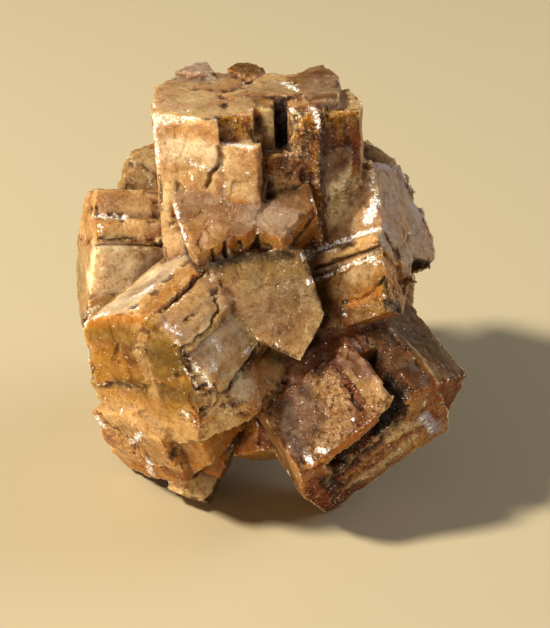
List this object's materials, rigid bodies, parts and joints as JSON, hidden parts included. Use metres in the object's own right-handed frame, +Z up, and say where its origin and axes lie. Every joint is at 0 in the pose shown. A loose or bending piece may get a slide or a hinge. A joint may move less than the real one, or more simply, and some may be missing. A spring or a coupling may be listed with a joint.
{
  "type": "aragonite crystal cluster",
  "caption": "Free-standing natural aragonite cluster: stout six-sided honey-brown crystals grown through one another, radiating from a common centre.",
  "frame": {"origin": "middle of the bounding box's underside, on the surface that the specimen rests on", "axes": "+Z up as the specimen rests, with the large upright crystal on top; the two big end faces seen from the front look towards -Y; +X is to the viewer's right from the front"},
  "size_m": [0.0418, 0.0394, 0.0413],
  "materials": {
    "aragonite": "translucent honey-brown crystal, vitreous on the faces and rough on broken and pitted ground"
  },
  "bodies": {
    "root": {"crystal_cluster": "aragonite"}
  },
  "joints": []
}
